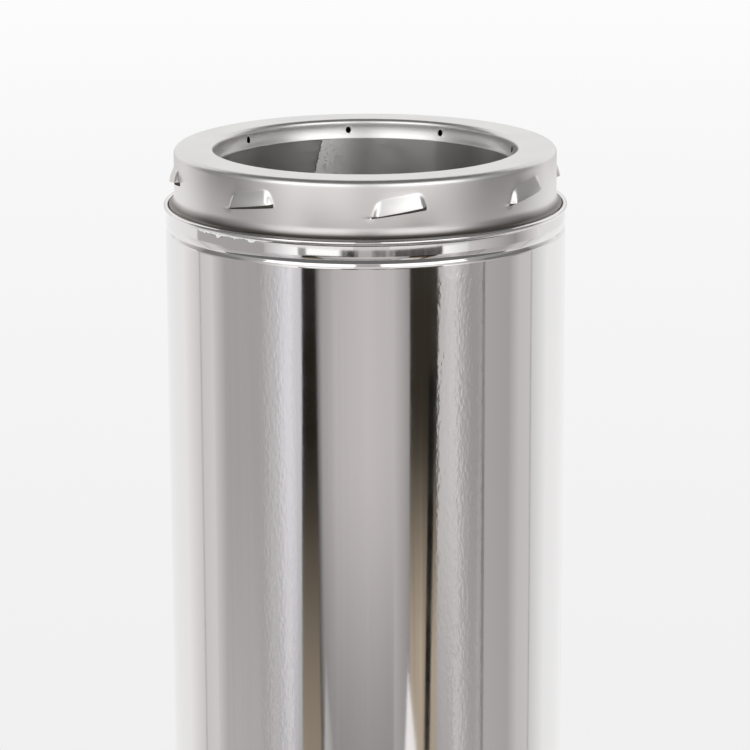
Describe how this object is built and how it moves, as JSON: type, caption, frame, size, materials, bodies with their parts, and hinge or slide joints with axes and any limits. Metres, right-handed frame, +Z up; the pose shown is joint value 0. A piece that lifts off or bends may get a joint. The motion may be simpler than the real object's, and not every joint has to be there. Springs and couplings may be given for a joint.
{
  "type": "double-wall chimney pipe section",
  "caption": "Straight double-wall insulated chimney section: bright outer shell, round flue liner and packed wall, with a twist-lock ring at each end.",
  "frame": {"origin": "centre of the shell's lower edge, on the floor that the section stands on", "axes": "+Z up along the pipe towards the end with outward lances; -Y is the side that the picture shows"},
  "size_m": [0.2052, 0.205, 0.9144],
  "materials": {
    "bright_shell": "bright annealed stainless sheet, mirror-like with faint rolling marks",
    "satin_ring": "satin stainless sheet, pressed",
    "satin_liner": "dull mill-finish stainless sheet",
    "packed_fibre": "packed off-white fibre blanket"
  },
  "bodies": {
    "root": {"outer_shell": "bright_shell", "flue_liner": "satin_liner", "insulation": "packed_fibre", "top_coupler": "satin_ring", "bottom_coupler": "satin_ring"}
  },
  "joints": []
}
